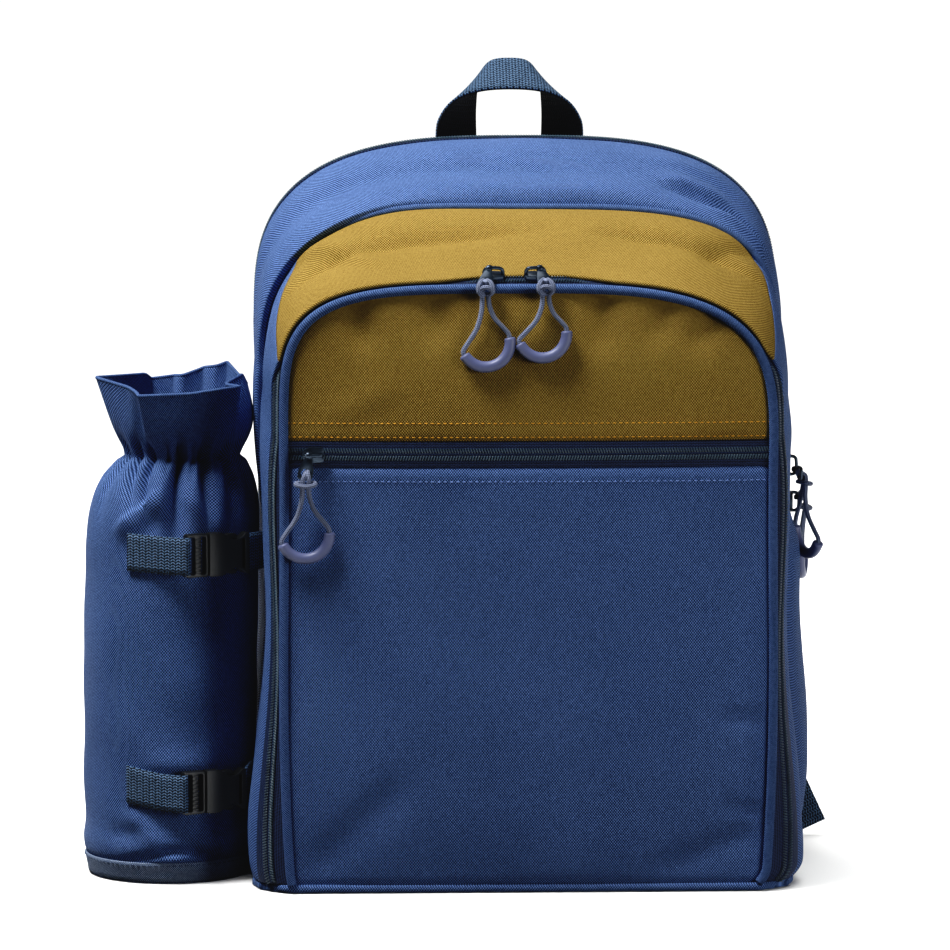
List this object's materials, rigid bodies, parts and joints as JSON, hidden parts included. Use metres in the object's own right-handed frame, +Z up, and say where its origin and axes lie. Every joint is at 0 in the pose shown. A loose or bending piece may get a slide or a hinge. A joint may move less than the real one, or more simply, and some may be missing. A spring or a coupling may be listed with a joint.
{
  "type": "picnic backpack",
  "caption": "Arched cloth picnic backpack with zipped rear and front compartments, a front pocket, padded shoulder straps and a gathered bottle pouch buckled to one side.",
  "frame": {"origin": "middle of the bag's base, on the surface that it stands on", "axes": "+Z up, +X to the right as the front is seen, the front faces -Y and the wearer's back is at +Y"},
  "size_m": [0.4133, 0.2317, 0.4365],
  "materials": {
    "blue_cloth": "woven polyester with a coated back",
    "mustard_cloth": "woven polyester with a coated back",
    "navy_zip": "woven zip tape with a nylon coil",
    "navy_webbing": "plain woven polyester webbing",
    "black_plastic": "moulded acetal",
    "black_metal": "lacquered die-cast zinc",
    "grey_cord": "braided polyester cord",
    "grey_rubber": "soft moulded vinyl"
  },
  "bodies": {
    "root": {"back_panel": "blue_cloth", "rear_gusset": "blue_cloth", "main_gusset": "blue_cloth", "divider_panel": "blue_cloth", "main_piping": "blue_cloth", "front_gusset_left": "blue_cloth", "front_gusset_right": "blue_cloth", "front_piping": "blue_cloth", "front_panel_lower": "blue_cloth", "base_panel": "blue_cloth", "shoulder_strap_left": "blue_cloth", "shoulder_strap_right": "blue_cloth", "bottle_pouch": "blue_cloth", "pouch_collar": "blue_cloth", "pouch_base": "blue_cloth", "front_gusset_top": "mustard_cloth", "front_panel_upper": "mustard_cloth", "main_zip": "navy_zip", "front_zip": "navy_zip", "pocket_zip": "navy_zip", "grab_handle": "navy_webbing", "strap_webbing_left": "navy_webbing", "strap_webbing_right": "navy_webbing", "pouch_hem": "navy_webbing", "pouch_webbing_upper": "navy_webbing", "pouch_webbing_lower": "navy_webbing", "side_webbing_upper": "navy_webbing", "side_webbing_lower": "navy_webbing", "strap_adjuster_left": "black_plastic", "strap_adjuster_right": "black_plastic", "buckle_plug_upper": "black_plastic", "buckle_plug_lower": "black_plastic", "buckle_socket_upper": "black_plastic", "buckle_socket_lower": "black_plastic", "zip_slider_pocket": "black_metal", "zip_tab_pocket": "black_metal", "zip_slider_front_left": "black_metal", "zip_tab_front_left": "black_metal", "zip_slider_front_right": "black_metal", "zip_tab_front_right": "black_metal", "zip_slider_main_upper": "black_metal", "zip_tab_main_upper": "black_metal", "zip_slider_main_lower": "black_metal", "zip_tab_main_lower": "black_metal", "pull_cord_pocket": "grey_cord", "pull_cord_front_left": "grey_cord", "pull_cord_front_right": "grey_cord", "pull_cord_main_upper": "grey_cord", "pull_cord_main_lower": "grey_cord", "pull_grip_pocket": "grey_rubber", "pull_grip_front_left": "grey_rubber", "pull_grip_front_right": "grey_rubber", "pull_grip_main_upper": "grey_rubber", "pull_grip_main_lower": "grey_rubber"}
  },
  "joints": []
}
